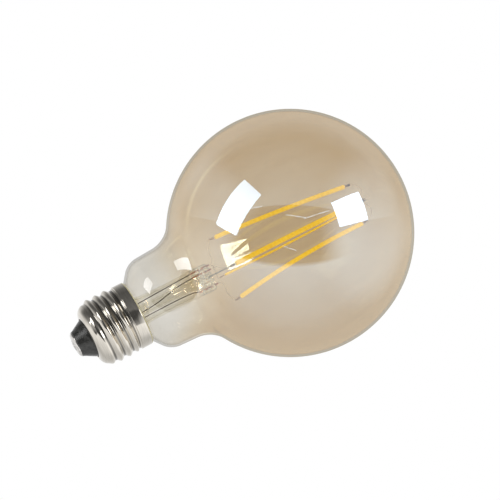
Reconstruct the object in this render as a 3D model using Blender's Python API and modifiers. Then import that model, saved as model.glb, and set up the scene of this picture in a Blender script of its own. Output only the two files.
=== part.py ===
"""Smart LED filament bulb: an amber glass globe on an E27 screw cap.

The axis of the bulb is Z. The origin is the outer face of the centre contact and +Z
points out of the cap, so the globe hangs below, as it does from a pendant lamp holder.
Lengths are in millimetres and become metres when an object is made. A place along the
axis is a depth: the distance from the contact's face towards the globe's crown.
"""

import math

import bmesh
import bpy
from mathutils import Matrix, Vector

MM = 0.001
GAP = 0.3

# Envelope: a globe, a nearly straight neck and a cone that closes onto the cap.
GLOBE_RADIUS = 47.5
OVERALL_LENGTH = 140.5
GLOBE_DEPTH = OVERALL_LENGTH - GLOBE_RADIUS
GLASS_WALL = 0.8
NECK_RADIUS = 18.4
NECK_TAPER = 0.3
NECK_START = 36.0
FILLET_START = 41.5
CONE_START = 26.7
THROAT_RADIUS = 11.4
THROAT_TOP = 20.6

# E27 cap: knuckle thread, seven turns to the inch.
THREAD_PITCH = 3.629
THREAD_RADIUS = 13.15
THREAD_CORE = 12.05
THREAD_START = 9.6
THREAD_END = 21.4
THREAD_FADE = 1.4
THREAD_PHASE = 11.4
COLLAR_RADIUS = 12.8
CAP_HEIGHT = 26.1
SHELL_WALL = 0.3
SHELL_TOP = 6.1
SHELL_LIP_RADIUS = 8.0
CONTACT_RADIUS = 4.75
CONTACT_FLAT_RADIUS = 2.4
INSULATOR_HOLE = 1.3
CEMENT_THICKNESS = 0.45
CEMENT_LENGTH = 3.1

# Glass mount: flare tube, flat press, exhaust tube. It leans a little inside the neck.
MOUNT_LEAN = math.radians(1.1)
MOUNT_PIVOT = 27.0
TUBE_RADIUS = 5.1
TUBE_WALL = 0.7
TUBE_END = 51.6
FLARE_TOP = 21.2
FLARE_RADIUS = 9.7
PRESS_HALF_WIDTH = 5.5
PRESS_THICKNESS = 3.8
PRESS_ROUNDING = 1.0
PRESS_START = TUBE_END + GAP
PRESS_END = 58.3
PRESS_FIT = 0.9
SOCKET_DEPTH = 2.0
EXHAUST_RADIUS = 2.0
EXHAUST_WALL = 0.6
EXHAUST_TIP = 21.5

# Light-emitting cage: four flat strips that lean inwards towards the crown. They are
# welded by hand, so each has its own azimuth, foot, twist and sideways bow along X.
TOP_DEPTH = 120.9
TOP_RADIUS = 7.9
STRIP_WIDTH = 2.2
STRIP_THICKNESS = 0.95
STRIP_ROUNDING = 0.3
STRIP_PARTS = 8
STRIP_AZIMUTHS = (0.0, 99.0, 180.0, 270.0)
STRIP_FEET = ((12.5, 65.8), (12.5, 65.4), (12.1, 64.6), (12.4, 66.0))
STRIP_TWISTS = (50.0, 90.0, -50.0, 10.0)
STRIP_BOWS = (0.5, -0.4, 1.2, 0.2)
TAB_WIDTH = 1.1
TAB_THICKNESS = 0.4
TAB_LENGTH = 2.0
HUB_DEPTH = 125.2
HUB_RADIUS = 0.9
HUB_HALF_LENGTH = 1.25
HUB_WIRE_BOW = 1.3

# Wires. A seal wire runs through the press, between an outer lead and an inner lead.
LEAD_RADIUS = 0.25
SEAL_RADIUS = 0.3
SUPPORT_RADIUS = 0.45
SEAL_PLACES = {"a": 4.1, "b": 2.4, "c": -3.6}
SEAL_STUB = 0.8

# Driver electronics on one board that stands in the cap. Sizes are (x, y, depth).
BOARD_SIZE = (16.0, 1.0, 9.6)
BOARD_TOP = 9.8
BOARD_Y = 2.2
MODULE_SIZE = (9.0, 0.8, 7.0)
MODULE_X = -2.0
SHIELD_SIZE = (5.2, 1.4, 5.2)
SHIELD_X = -3.0
SHIELD_ROUNDING = 0.3
RECTIFIER_SIZE = (4.0, 1.6, 3.6)
RECTIFIER_X = 5.6
CHIP_SIZE = (2.6, 1.4, 2.2)
CHIP_XS = (-1.6, 1.7)
CAN_RADIUS = 3.0
CAN_LENGTH = 6.2
CAN_X = 4.4
COIL_RADIUS = 2.4
COIL_LENGTH = 4.6
COIL_X = -4.8
SLEEVE_RADIUS = 10.6
SLEEVE_WALL = 0.5
SLEEVE_TOP = 10.8
SLEEVE_END = 16.8

GLOBE_STEPS = 40
CAP_STEPS = 28
SMALL_STEPS = 16
TINY_STEPS = 12


def point(x, y, depth):
    """A point in metres from two offsets and a depth in millimetres."""
    return Vector((x, y, -depth)) * MM


def polar(radius, degrees, depth):
    """A point at a radius and azimuth about the bulb's axis."""
    turn = math.radians(degrees)
    return point(radius * math.cos(turn), radius * math.sin(turn), depth)


def arc(centre, radius, start, end, count, squash=1.0):
    """(radius, depth) points on an arc in the profile plane, angles in degrees."""
    points = []
    for step in range(count + 1):
        turn = math.radians(start + (end - start) * step / count)
        points.append((centre[0] + radius * math.cos(turn), centre[1] + squash * radius * math.sin(turn)))
    return points


def make_material(name, colour, roughness, metallic=0.0, alpha=1.0):
    found = bpy.data.materials.get(name)
    if found:
        return found
    made = bpy.data.materials.new(name)
    made.use_nodes = True
    shader = made.node_tree.nodes["Principled BSDF"]
    shader.inputs["Base Color"].default_value = (*colour, 1.0)
    shader.inputs["Roughness"].default_value = roughness
    shader.inputs["Metallic"].default_value = metallic
    shader.inputs["Alpha"].default_value = alpha
    made.diffuse_color = (*colour, alpha)
    return made


def amber_glass():
    return make_material("amber_glass", (0.80, 0.62, 0.40), 0.03, alpha=0.35)


def clear_glass():
    return make_material("clear_glass", (0.92, 0.93, 0.92), 0.03, alpha=0.35)


def nickel_plate():
    return make_material("nickel_plate", (0.78, 0.75, 0.70), 0.12, metallic=1.0)


def contact_metal():
    return make_material("contact_metal", (0.80, 0.78, 0.75), 0.3, metallic=1.0)


def black_insulator():
    return make_material("black_insulator", (0.02, 0.02, 0.022), 0.25)


def cement_resin():
    return make_material("cement_resin", (0.80, 0.72, 0.45), 0.6)


def phosphor():
    return make_material("phosphor", (0.95, 0.62, 0.05), 0.5)


def lead_nickel():
    return make_material("lead_nickel", (0.45, 0.43, 0.41), 0.35, metallic=1.0)


def seal_copper():
    return make_material("seal_copper", (0.72, 0.33, 0.20), 0.35, metallic=1.0)


def dark_bead():
    return make_material("dark_bead", (0.06, 0.05, 0.05), 0.5)


def board_laminate():
    return make_material("board_laminate", (0.03, 0.22, 0.10), 0.45)


def module_laminate():
    return make_material("module_laminate", (0.02, 0.05, 0.16), 0.45)


def chip_resin():
    return make_material("chip_resin", (0.02, 0.02, 0.02), 0.5)


def can_steel():
    return make_material("can_steel", (0.62, 0.62, 0.63), 0.3, metallic=1.0)


def capacitor_can():
    return make_material("capacitor_can", (0.05, 0.06, 0.10), 0.35)


def ferrite():
    return make_material("ferrite", (0.10, 0.09, 0.09), 0.7)


def resistor_coat():
    return make_material("resistor_coat", (0.30, 0.45, 0.55), 0.5)


def sleeve_film():
    return make_material("sleeve_film", (0.85, 0.80, 0.62), 0.5)


def clear_scene():
    for thing in list(bpy.data.objects):
        bpy.data.objects.remove(thing, do_unlink=True)


def make_collection(name):
    made = bpy.data.collections.new(name)
    bpy.context.scene.collection.children.link(made)
    return made


def add_object(name, data, material, collection):
    made = bpy.data.objects.new(name, data)
    collection.objects.link(made)
    if material:
        data.materials.append(material)
    return made


def baked(thing):
    """The object as a plain mesh, with its modifiers or its curve's bevel applied."""
    bpy.context.view_layer.update()
    graph = bpy.context.evaluated_depsgraph_get()
    mesh = bpy.data.meshes.new_from_object(thing.evaluated_get(graph))
    solid = bmesh.new()
    solid.from_mesh(mesh)
    bmesh.ops.remove_doubles(solid, verts=solid.verts, dist=1e-6)
    solid.to_mesh(mesh)
    solid.free()
    name = thing.name
    placed = thing.matrix_world.copy()
    home = thing.users_collection[0]
    bpy.data.objects.remove(thing, do_unlink=True)
    made = bpy.data.objects.new(name, mesh)
    home.objects.link(made)
    made.matrix_world = placed
    return made


def turned(name, profile, material, collection, steps, closed=True):
    """A turned piece. The profile's (radius, depth) points run down its outer side first."""
    ends = len(profile) if closed else len(profile) - 1
    edges = [(index, (index + 1) % len(profile)) for index in range(ends)]
    mesh = bpy.data.meshes.new(name)
    mesh.from_pydata([point(radius, 0.0, depth) for radius, depth in profile], edges, [])
    made = add_object(name, mesh, material, collection)
    screw = made.modifiers.new("Turn", "SCREW")
    screw.axis = "Z"
    screw.steps = steps
    screw.render_steps = steps
    screw.use_merge_vertices = True
    screw.merge_threshold = 0.00001
    screw.use_smooth_shade = True
    return made


def shell(made, thickness):
    """Thickens an open turned surface inwards."""
    solidify = made.modifiers.new("Wall", "SOLIDIFY")
    solidify.thickness = thickness * MM
    solidify.offset = -1.0
    solidify.use_even_offset = True
    return made


def box(name, size, centre, material, collection, rounding=0.0):
    """A box of (x, y, depth) size at a centre, with optional rounded edges."""
    solid = bmesh.new()
    bmesh.ops.create_cube(solid, size=1.0)
    bmesh.ops.scale(solid, vec=Vector(size) * MM, verts=solid.verts)
    mesh = bpy.data.meshes.new(name)
    solid.to_mesh(mesh)
    solid.free()
    made = add_object(name, mesh, material, collection)
    made.location = point(*centre)
    if rounding:
        bevel = made.modifiers.new("Round", "BEVEL")
        bevel.width = rounding * MM
        bevel.segments = 2
    return made


def rod(name, radius, length, centre, material, collection, steps=SMALL_STEPS):
    """A cylinder along Z at a centre."""
    solid = bmesh.new()
    bmesh.ops.create_cone(
        solid, cap_ends=True, segments=steps, radius1=radius * MM, radius2=radius * MM, depth=length * MM
    )
    mesh = bpy.data.meshes.new(name)
    solid.to_mesh(mesh)
    solid.free()
    mesh.shade_smooth()
    mesh.set_sharp_from_angle(angle=math.radians(40))
    made = add_object(name, mesh, material, collection)
    made.location = point(*centre)
    return made


def smooth_route(points, per_span):
    """Points on a Catmull-Rom curve through the given ones."""
    padded = [points[0], *points, points[-1]]
    route = []
    for index in range(1, len(padded) - 2):
        before, start, end, after = padded[index - 1 : index + 3]
        for step in range(per_span):
            t = step / per_span
            route.append(
                0.5
                * (
                    2 * start
                    + (end - before) * t
                    + (2 * before - 5 * start + 4 * end - after) * t**2
                    + (3 * start - before - 3 * end + after) * t**3
                )
            )
    route.append(points[-1])
    return route


def wire(name, points, radius, material, collection, per_span=3):
    """A round wire along a smooth route through the points."""
    route = smooth_route(points, per_span) if len(points) > 2 else points
    curve = bpy.data.curves.new(name, "CURVE")
    curve.dimensions = "3D"
    curve.bevel_depth = radius * MM
    curve.bevel_resolution = 2
    curve.use_fill_caps = True
    spline = curve.splines.new("POLY")
    spline.points.add(len(route) - 1)
    for place, target in zip(spline.points, route):
        place.co = (*target, 1.0)
    return add_object(name, curve, material, collection)


def cut(made, cutter):
    """Takes the cutter's shape out of a piece."""
    cutter.hide_render = True
    cutter.display_type = "WIRE"
    boolean = made.modifiers.new("Cut " + cutter.name, "BOOLEAN")
    boolean.operation = "DIFFERENCE"
    boolean.object = cutter
    return made


def envelope_profile():
    """The glass's outer side, from its open throat to the crown."""
    shoulder = arc((10.0, NECK_START), NECK_RADIUS - 10.0, -45, 0, 4)
    neck_end = NECK_RADIUS + NECK_TAPER
    rise = GLOBE_DEPTH - FILLET_START
    fillet = (neck_end**2 + rise**2 - GLOBE_RADIUS**2) / (2 * (GLOBE_RADIUS - neck_end))
    centre = (neck_end + fillet, FILLET_START)
    tangent = math.degrees(math.atan2(rise, centre[0]))
    hollow = arc(centre, fillet, 180, 180 - tangent, 5)
    globe = arc((0.0, GLOBE_DEPTH), GLOBE_RADIUS, -tangent, 90, 17)
    bend = 0.35
    throat = [(THROAT_RADIUS, THROAT_TOP), (THROAT_RADIUS, CONE_START - 2 * bend)]
    throat.append((THROAT_RADIUS + bend, CONE_START))
    profile = throat + shoulder + hollow + globe[1:]
    profile[-1] = (0.0, OVERALL_LENGTH)
    return profile


def make_envelope(parts):
    made = turned("globe_envelope", envelope_profile(), amber_glass(), parts, GLOBE_STEPS, closed=False)
    return shell(made, GLASS_WALL)


def shell_profile():
    """The screw shell's outer side before its thread is rolled."""
    lip = []
    for step in range(6):
        turn = math.radians(90 * step / 5)
        lip.append(
            (
                SHELL_LIP_RADIUS + (THREAD_CORE - SHELL_LIP_RADIUS) * math.sin(turn),
                THREAD_START - (THREAD_START - SHELL_TOP) * math.cos(turn),
            )
        )
    rows = 20
    row_height = (THREAD_END - THREAD_START) / rows
    rolled = [(THREAD_CORE, THREAD_START + row_height * row) for row in range(1, rows)]
    collar = [
        (THREAD_CORE + 0.15, THREAD_END),
        (COLLAR_RADIUS - 0.1, THREAD_END + 0.5),
        (COLLAR_RADIUS, THREAD_END + 1.0),
        (COLLAR_RADIUS, CAP_HEIGHT - 0.3),
        (COLLAR_RADIUS + 0.12, CAP_HEIGHT),
    ]
    return lip + rolled + collar


def thread_height(angle, depth):
    """How far the knuckle thread stands out at an azimuth and a depth."""
    if not THREAD_START - THREAD_FADE < depth < THREAD_END + THREAD_FADE:
        return 0.0
    start = min(1.0, max(0.0, (depth - THREAD_START + THREAD_FADE) / (2 * THREAD_FADE)))
    end = min(1.0, max(0.0, (THREAD_END - depth) / THREAD_FADE))
    turns = (depth - THREAD_PHASE) / THREAD_PITCH + angle / (2 * math.pi)
    wave = 0.5 + 0.5 * math.cos(2 * math.pi * turns)
    return (THREAD_RADIUS - THREAD_CORE) * wave * min(start, end)


def make_screw_shell(parts):
    made = baked(turned("screw_shell", shell_profile(), nickel_plate(), parts, CAP_STEPS, closed=False))
    for vertex in made.data.vertices:
        depth = -vertex.co.z / MM
        radius = math.hypot(vertex.co.x, vertex.co.y) / MM
        angle = math.atan2(vertex.co.y, vertex.co.x)
        grown = 1.0 + thread_height(angle, depth) / radius
        vertex.co.x *= grown
        vertex.co.y *= grown
    return shell(made, SHELL_WALL)


def make_insulator(parts):
    outer = [(4.7, 1.3), (7.45, 5.8), (7.45, 7.1), (9.5, 7.4), (10.5, 8.2), (11.0, 9.4), (11.0, 10.4)]
    inner = [(9.6, 10.4), (9.2, 9.2), (8.0, 8.3), (5.8, 7.6), (5.2, 6.0), (3.0, 3.6), (INSULATOR_HOLE, 3.0)]
    profile = outer + inner + [(INSULATOR_HOLE, 1.3)]
    return turned("insulator", profile, black_insulator(), parts, CAP_STEPS)


def make_contact(parts):
    outer = [(0.0, 0.0), (CONTACT_FLAT_RADIUS, 0.0), (3.8, 0.25), (4.5, 0.6), (CONTACT_RADIUS, 1.0)]
    inner = [(4.3, 1.0), (3.7, 0.75), (2.0, 0.6), (0.9, 0.7), (0.9, 1.9), (0.0, 1.9)]
    return turned("centre_contact", outer + inner, contact_metal(), parts, 24, closed=False)


def make_cement(parts):
    """The ring that bonds the glass into the cap, with the bead squeezed out at the rim."""
    inside = THROAT_RADIUS + GAP
    bond = inside + CEMENT_THICKNESS
    rim = CAP_HEIGHT + GAP
    start = rim - CEMENT_LENGTH
    outer = [(inside, start), (bond, start), (bond, rim - 0.25), (bond + 0.15, rim)]
    bead = [(COLLAR_RADIUS + 0.2, rim), (COLLAR_RADIUS + 0.25, rim + 0.65)]
    bead.append((COLLAR_RADIUS - 0.3, rim + 0.4))
    inner = [(inside + 0.25, rim + 0.02), (inside, rim - 0.35)]
    return turned("cap_cement", outer + bead + inner, cement_resin(), parts, CAP_STEPS)


def flattened(made, start, end, half_width, half_depth):
    """Squeezes a tube's end from round to flat, as the press jaws do."""
    for vertex in made.data.vertices:
        depth = -vertex.co.z / MM
        blend = min(1.0, max(0.0, (depth - start) / (end - start)))
        blend = blend * blend * (3 - 2 * blend)
        vertex.co.x *= 1 + blend * (half_width / TUBE_RADIUS - 1)
        vertex.co.y *= 1 + blend * (half_depth / TUBE_RADIUS - 1)
    return made


def make_stem_tube(parts):
    flare = [(FLARE_RADIUS, FLARE_TOP), (8.6, 22.6), (6.9, 24.6), (5.7, 27.0), (5.25, 30.0)]
    straight = [(TUBE_RADIUS, depth) for depth in (34.0, 44.0, 46.0, 47.8, 49.6, TUBE_END)]
    tube = flare + straight
    made = baked(shell(turned("stem_tube", tube, clear_glass(), parts, 24, closed=False), TUBE_WALL))
    return flattened(made, 44.0, TUBE_END, PRESS_HALF_WIDTH, PRESS_THICKNESS / 2 + PRESS_FIT)


def make_press(parts, cutters):
    middle = (PRESS_START + PRESS_END) / 2
    height = PRESS_END - PRESS_START
    size = (2 * PRESS_HALF_WIDTH, PRESS_THICKNESS, height)
    made = box("stem_press", size, (0, 0, middle), clear_glass(), parts, rounding=PRESS_ROUNDING)
    for key, across in SEAL_PLACES.items():
        place = (across, 0, middle)
        cut(made, rod("press_hole_" + key, SEAL_RADIUS + GAP, 2 * height, place, None, cutters, TINY_STEPS))
    place = (0, 0, PRESS_END)
    radius = SUPPORT_RADIUS + GAP
    return cut(made, rod("press_socket", radius, 2 * SOCKET_DEPTH, place, None, cutters, TINY_STEPS))


def make_exhaust_tube(parts):
    tip = EXHAUST_TIP
    bore = EXHAUST_RADIUS - EXHAUST_WALL
    end = PRESS_START - SEAL_STUB - GAP
    outer = [(0.0, tip), (0.6, tip + 0.3), (1.4, tip + 1.6)]
    outer += [(EXHAUST_RADIUS, tip + 3.4), (EXHAUST_RADIUS, end)]
    inner = [(bore, end), (bore, tip + 3.8), (0.7, tip + 2.2), (0.0, tip + 1.6)]
    return turned("exhaust_tube", outer + inner, clear_glass(), parts, SMALL_STEPS, closed=False)


def make_seal_wires(parts):
    made = []
    for key, across in SEAL_PLACES.items():
        ends = [point(across, 0, PRESS_START - SEAL_STUB), point(across, 0, PRESS_END + SEAL_STUB)]
        made.append(wire("seal_wire_" + key, ends, SEAL_RADIUS, seal_copper(), parts))
    return made


def make_outer_leads(parts):
    """The copper leads between the board and the press, down the flare tube."""
    end = PRESS_START - SEAL_STUB - GAP
    routes = {
        "a": [(3.0, 0.2, 20.0), (2.9, 0.2, 27.0), (3.3, 0.1, 35.0), (3.75, 0.0, 45.0), (4.1, 0.0, end)],
        "b": [(-0.6, -2.9, 20.0), (-0.7, -3.1, 28.0), (0.0, -3.1, 35.0), (1.9, -2.6, 44.0), (2.4, 0.0, end)],
        "c": [(-3.0, 0.2, 20.0), (-2.8, 0.2, 28.0), (-2.55, 0.1, 38.0), (-2.6, 0.0, 47.0), (-3.3, 0.0, end)],
    }
    made = []
    for key, route in routes.items():
        points = [point(*place) for place in route]
        made.append(wire("outer_lead_" + key, points, LEAD_RADIUS, seal_copper(), parts, per_span=2))
    return made


def strip_ends(number):
    azimuth = STRIP_AZIMUTHS[number - 1]
    radius, depth = STRIP_FEET[number - 1]
    return polar(radius, azimuth, depth), polar(TOP_RADIUS, azimuth, TOP_DEPTH)


def placed_along(made, start, end, number):
    """Turns a piece whose length is Z so that it lies from one point to the other."""
    along = (end - start).normalized()
    turn = math.radians(STRIP_AZIMUTHS[number - 1])
    across = Vector((-math.sin(turn), math.cos(turn), 0.0))
    axes = Matrix((across, across.cross(along), along)).transposed().to_4x4()
    twist = Matrix.Rotation(math.radians(STRIP_TWISTS[number - 1]), 4, "Z")
    made.matrix_world = Matrix.Translation((start + end) / 2) @ axes @ twist
    return made


def bowed_strip(number, parts):
    """One strip: a flat bar cut into short lengths, bent sideways along X and placed."""
    foot, top = strip_ends(number)
    length = (top - foot).length / MM
    size = (STRIP_WIDTH, STRIP_THICKNESS, length)
    made = box(f"filament_{number}", size, (0, 0, 0), phosphor(), parts, rounding=STRIP_ROUNDING)
    placed_along(made, foot, top, number)
    sideways = made.matrix_world.to_3x3().inverted() @ Vector((1.0, 0.0, 0.0))
    solid = bmesh.new()
    solid.from_mesh(made.data)
    for cut_at in range(1, STRIP_PARTS):
        height = (cut_at / STRIP_PARTS - 0.5) * length * MM
        everything = [*solid.verts, *solid.edges, *solid.faces]
        bmesh.ops.bisect_plane(solid, geom=everything, plane_co=(0, 0, height), plane_no=(0, 0, 1))
    for vertex in solid.verts:
        share = vertex.co.z / (length * MM)
        vertex.co += sideways * STRIP_BOWS[number - 1] * MM * (1 - 4 * share * share)
    solid.to_mesh(made.data)
    solid.free()
    return made


def make_strips(parts):
    """The four light-emitting strips, each with a metal tab at both ends."""
    made = []
    for number in range(1, len(STRIP_AZIMUTHS) + 1):
        made.append(bowed_strip(number, parts))
        foot, top = strip_ends(number)
        along = (top - foot).normalized()
        for where, edge, way in (("foot", foot, -1), ("top", top, 1)):
            near = edge + along * way * GAP * MM
            far = near + along * way * TAB_LENGTH * MM
            size = (TAB_WIDTH, TAB_THICKNESS, TAB_LENGTH)
            tab = box(f"{where}_tab_{number}", size, (0, 0, 0), lead_nickel(), parts)
            made.append(placed_along(tab, near, far, number))
    return made


def tab_tip(number, where):
    """A point just past the free end of a strip's tab."""
    foot, top = strip_ends(number)
    along = (top - foot).normalized()
    reach = (TAB_LENGTH + 2 * GAP + LEAD_RADIUS) * MM
    return foot - along * reach if where == "foot" else top + along * reach


def make_inner_leads(parts):
    """The leads from the press to the strips' feet, and the jumper to the fourth foot."""
    start = PRESS_END + SEAL_STUB + 2 * GAP
    a, b, c = (SEAL_PLACES[key] for key in "abc")
    routes = {
        "inner_lead_a": ([(a, 0, start), (a + 0.7, 0, start + 1.2), (a + 4.0, 0, start + 1.6)], 1),
        "inner_lead_b": ([(b, 0, start), (b - 0.2, -1.6, start + 1.6), (0.8, -6.5, start + 2.2)], 4),
        "inner_lead_c": ([(c, 0, start), (c - 1.2, 0, start + 1.3), (c - 4.5, 0, start + 1.0)], 3),
        "jumper_wire": ([(a - 0.6, 1.2, start + 0.4), (a - 1.0, 3.0, start + 1.4), (0, 8.0, start + 2.0)], 2),
    }
    made = []
    for name, (route, strip) in routes.items():
        points = [point(*place) for place in route] + [tab_tip(strip, "foot")]
        made.append(wire(name, points, LEAD_RADIUS, lead_nickel(), parts, per_span=2))
    return made


def make_support(parts):
    """The centre wire that carries the top hub, the hub's bead and the four top wires."""
    ends = [point(0, 0, PRESS_END - SOCKET_DEPTH + GAP), point(0, 0, HUB_DEPTH - HUB_HALF_LENGTH - GAP)]
    made = [wire("support_wire", ends, SUPPORT_RADIUS, can_steel(), parts)]
    bead = arc((0.0, HUB_DEPTH), HUB_RADIUS, -90, 90, 6, squash=HUB_HALF_LENGTH / HUB_RADIUS)
    bead[0] = (0.0, HUB_DEPTH - HUB_HALF_LENGTH)
    bead[-1] = (0.0, HUB_DEPTH + HUB_HALF_LENGTH)
    made.append(turned("top_hub", bead, dark_bead(), parts, TINY_STEPS, closed=False))
    for number, azimuth in enumerate(STRIP_AZIMUTHS, start=1):
        inner = polar(HUB_RADIUS + GAP, azimuth, HUB_DEPTH)
        bow = polar(TOP_RADIUS * 0.6, azimuth, HUB_DEPTH + HUB_WIRE_BOW)
        route = [inner, bow, tab_tip(number, "top")]
        made.append(wire(f"top_wire_{number}", route, LEAD_RADIUS, lead_nickel(), parts))
    return made


def on_board(name, size, across, depth, side, material, parts, rounding=0.0, lift=0.0):
    """A box that lies on the board's front (side -1) or back (side 1)."""
    y = BOARD_Y + side * (BOARD_SIZE[1] / 2 + lift + GAP + size[1] / 2)
    return box(name, size, (across, y, depth), material, parts, rounding)


def make_board(parts):
    """The driver board and what is soldered on it."""
    middle = BOARD_TOP + BOARD_SIZE[2] / 2
    box("driver_board", BOARD_SIZE, (0, BOARD_Y, middle), board_laminate(), parts)
    on_board("wireless_module", MODULE_SIZE, MODULE_X, middle, 1, module_laminate(), parts)
    lift = MODULE_SIZE[1] + GAP
    on_board("module_shield", SHIELD_SIZE, SHIELD_X, middle, 1, can_steel(), parts, SHIELD_ROUNDING, lift)
    depth = BOARD_TOP + RECTIFIER_SIZE[2] / 2 + GAP
    on_board("bridge_rectifier", RECTIFIER_SIZE, RECTIFIER_X, depth, 1, chip_resin(), parts)
    depth = BOARD_TOP + BOARD_SIZE[2] - CHIP_SIZE[2] / 2 - GAP
    for number, across in enumerate(CHIP_XS, start=1):
        on_board(f"driver_chip_{number}", CHIP_SIZE, across, depth, -1, chip_resin(), parts)
    front = BOARD_Y - BOARD_SIZE[1] / 2 - GAP
    place = (CAN_X, front - CAN_RADIUS, BOARD_TOP + CAN_LENGTH / 2 + GAP)
    rod("smoothing_capacitor", CAN_RADIUS, CAN_LENGTH, place, capacitor_can(), parts)
    place = (COIL_X, front - COIL_RADIUS, BOARD_TOP + COIL_LENGTH / 2 + GAP)
    rod("power_inductor", COIL_RADIUS, COIL_LENGTH, place, ferrite(), parts)


def make_sleeve(parts):
    """The insulating film ring between the electronics and the screw shell."""
    outside = SLEEVE_RADIUS + SLEEVE_WALL
    outer = [(outside, SLEEVE_TOP), (outside, SLEEVE_END)]
    inner = [(SLEEVE_RADIUS, SLEEVE_END), (SLEEVE_RADIUS, SLEEVE_TOP)]
    return turned("board_sleeve", outer + inner, sleeve_film(), parts, CAP_STEPS)


def make_feeds(parts):
    """The fusible resistor and the wires from the board to the cap's two contacts."""
    body = [(0.0, 4.4), (0.9, 4.4), (1.15, 4.7), (1.15, 7.9), (0.9, 8.2), (0.0, 8.2)]
    turned("fusible_resistor", body, resistor_coat(), parts, TINY_STEPS, closed=False)
    wire("centre_feed", [point(0, 0, 2.2), point(0, 0, 4.1)], LEAD_RADIUS, lead_nickel(), parts)
    upper = [point(0, 0, 8.5), point(0, 0.4, 9.1), point(0, 1.3, 9.3), point(0, BOARD_Y, 9.3)]
    wire("board_feed", upper, LEAD_RADIUS, lead_nickel(), parts, per_span=2)
    side = BOARD_SIZE[0] / 2 + GAP + LEAD_RADIUS
    lower = [point(side, BOARD_Y, 17.0), point(side + 0.9, 2.0, 17.8)]
    lower += [point(10.4, 0.8, 18.6), point(11.2, 0.0, 19.8)]
    wire("shell_feed", lower, LEAD_RADIUS, lead_nickel(), parts, per_span=2)


def lean_mount(pieces):
    """Tips the glass mount and all it carries about the middle of its flare."""
    frame = bpy.data.objects.new("mount_frame", None)
    bpy.context.scene.collection.objects.link(frame)
    frame.location = point(0, 0, MOUNT_PIVOT)
    frame.rotation_euler = (0.0, MOUNT_LEAN, 0.0)
    for piece in pieces:
        piece.parent = frame
        piece.matrix_parent_inverse = Matrix.Translation(-frame.location)


def main():
    clear_scene()
    parts = make_collection("smart_light_bulb")
    cutters = make_collection("cutters")
    make_envelope(parts)
    make_screw_shell(parts)
    make_insulator(parts)
    make_contact(parts)
    make_cement(parts)
    mount = [make_stem_tube(parts), make_press(parts, cutters), make_exhaust_tube(parts)]
    mount += make_seal_wires(parts) + make_outer_leads(parts) + make_strips(parts)
    mount += make_inner_leads(parts) + make_support(parts)
    mount += list(cutters.objects)
    lean_mount(mount)
    make_board(parts)
    make_sleeve(parts)
    make_feeds(parts)


main()
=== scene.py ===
"""Looks for the smart filament bulb: finer glass, cap and strips, materials, light and camera.

Depth is the distance in millimetres from the centre contact's face towards the crown, which
is -Z. The camera's own axes also set the studio: a white table below the view, a dark room
above it with two softboxes, and a white sweep behind.
"""

import math
import random

import bmesh
import bpy
from mathutils import Matrix, Vector, noise


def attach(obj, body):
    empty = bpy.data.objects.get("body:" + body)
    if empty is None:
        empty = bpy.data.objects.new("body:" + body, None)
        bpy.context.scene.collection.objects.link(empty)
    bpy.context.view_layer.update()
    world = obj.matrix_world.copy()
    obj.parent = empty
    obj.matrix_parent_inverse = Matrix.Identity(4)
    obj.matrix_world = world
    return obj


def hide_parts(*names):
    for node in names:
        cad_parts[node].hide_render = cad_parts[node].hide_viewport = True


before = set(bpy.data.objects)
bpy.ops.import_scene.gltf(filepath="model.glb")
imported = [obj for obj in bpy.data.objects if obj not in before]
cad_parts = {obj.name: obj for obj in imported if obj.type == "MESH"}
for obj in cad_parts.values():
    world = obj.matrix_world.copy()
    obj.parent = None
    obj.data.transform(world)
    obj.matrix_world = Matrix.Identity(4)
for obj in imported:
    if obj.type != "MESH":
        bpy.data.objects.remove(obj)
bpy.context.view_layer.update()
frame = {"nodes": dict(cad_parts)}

MM = 0.001
WHITE = (1.0, 1.0, 1.0)
GOLDEN = (1.0, 0.78, 0.4)

# Glass envelope, as in the CAD.
GLOBE_RADIUS = 47.5
OVERALL_LENGTH = 140.5
GLOBE_DEPTH = OVERALL_LENGTH - GLOBE_RADIUS
GLASS_WALL = 0.8
GLOBE_STEPS = 160
NECK_RADIUS = 18.4
NECK_TAPER = 0.3
NECK_START = 36.0
FILLET_START = 41.5
CONE_START = 26.7
THROAT_RADIUS = 11.4
THROAT_TOP = 20.6

# Screw cap.
THREAD_PITCH = 3.629
THREAD_RADIUS = 13.15
THREAD_CORE = 12.05
THREAD_START = 9.6
THREAD_END = 21.4
THREAD_FADE = 1.4
THREAD_PHASE = 11.4
ROLLING_RIDGE = 0.018
RIDGES_PER_TURN = 4
COLLAR_RADIUS = 12.8
CAP_HEIGHT = 26.1
SHELL_WALL = 0.3
SHELL_TOP = 6.1
SHELL_LIP_RADIUS = 8.0
CONTACT_RADIUS = 4.75
CAP_STEPS = 180
INSULATOR_STEPS = 120
CONTACT_STEPS = 96
SOLDER_STEPS = 64

# Glass mount: flare, tube and press, and the exhaust tube inside. It leans about a pivot.
MOUNT_LEAN = math.radians(1.1)
MOUNT_PIVOT = 27.0
TUBE_RADIUS = 5.1
TUBE_WALL = 0.7
FLARE_TOP = 21.2
FLARE_RADIUS = 9.7
FLARE_DECAY = 2.9
JAW_START = 44.0
PRESS_START = 51.9
PRESS_END = 58.3
PRESS_HALF_WIDTH = 5.5
PRESS_HALF_DEPTH = 1.9
EXHAUST_RADIUS = 2.0
EXHAUST_WALL = 0.6
EXHAUST_TIP = 21.5
EXHAUST_END = 50.8
SEEDS = 110
STEM_STEPS = 96
EXHAUST_STEPS = 48

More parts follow.
